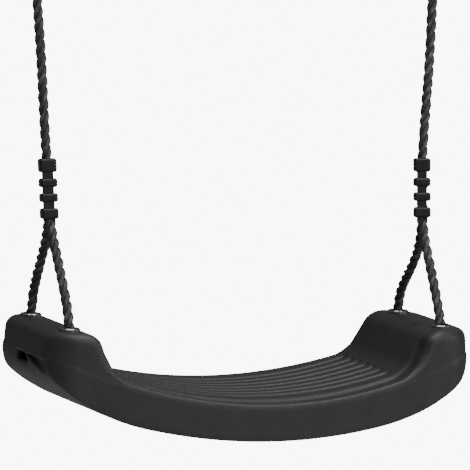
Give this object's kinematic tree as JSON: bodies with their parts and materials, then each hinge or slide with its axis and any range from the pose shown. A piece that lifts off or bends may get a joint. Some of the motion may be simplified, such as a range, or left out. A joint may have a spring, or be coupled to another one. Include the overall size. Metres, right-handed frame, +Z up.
{
  "type": "rope swing seat",
  "caption": "Curved hollow plastic swing seat hung on rope bridles with ribbed clamps, thimbles, rings and screw hooks.",
  "frame": {"origin": "midway between the two screw hooks where their studs enter the underside of the beam", "axes": "+Z up along the studs, +X along the seat's length, -Y towards the front of the seat"},
  "size_m": [0.484, 0.1998, 0.6889],
  "materials": {
    "seat_plastic": "satin, fine moulded grain",
    "clamp_plastic": "satin",
    "thimble_plastic": "satin",
    "rope": "laid synthetic fibre",
    "zinc": "bright zinc plate"
  },
  "bodies": {
    "hangers": {"left_hook": "zinc", "right_hook": "zinc"},
    "rings": {"left_ring": "zinc", "right_ring": "zinc"},
    "left_line": {"left_rope": "rope", "left_rear_leg": "rope", "left_lower_clamp": "clamp_plastic", "left_upper_clamp": "clamp_plastic", "left_thimble": "thimble_plastic"},
    "right_line": {"right_rope": "rope", "right_rear_leg": "rope", "right_lower_clamp": "clamp_plastic", "right_upper_clamp": "clamp_plastic", "right_thimble": "thimble_plastic"},
    "seat": {"seat_shell": "seat_plastic", "left_front_eyelet": "zinc", "left_rear_eyelet": "zinc", "right_front_eyelet": "zinc", "right_rear_eyelet": "zinc", "left_cross_rope": "rope", "right_cross_rope": "rope"}
  },
  "joints": [
    {"name": "swing", "type": "hinge", "parent": "hangers", "child": "rings", "pos_m": [0, 0, -0.05634], "axis": [1, 0, 0], "range_deg": [-60, 60]},
    {"name": "sway_left", "type": "hinge", "parent": "rings", "child": "left_line", "pos_m": [-0.21368, 0, -0.09097], "axis": [0, 1, 0], "range_deg": [-10, 10]},
    {"name": "sway_right", "type": "hinge", "parent": "rings", "child": "right_line", "pos_m": [0.21368, 0, -0.09097], "axis": [0, 1, 0], "range_deg": [-10.05, 10.05]},
    {"name": "seat_level", "type": "hinge", "parent": "left_line", "child": "seat", "pos_m": [-0.193, 0, -0.51251], "axis": [0, 1, 0], "range_deg": [-11.2, 11.2]}
  ],
  "couplings": [
    {"joint": "sway_right", "follows": "sway_left", "ratio": 1},
    {"joint": "seat_level", "follows": "sway_left", "ratio": -1.1072}
  ]
}
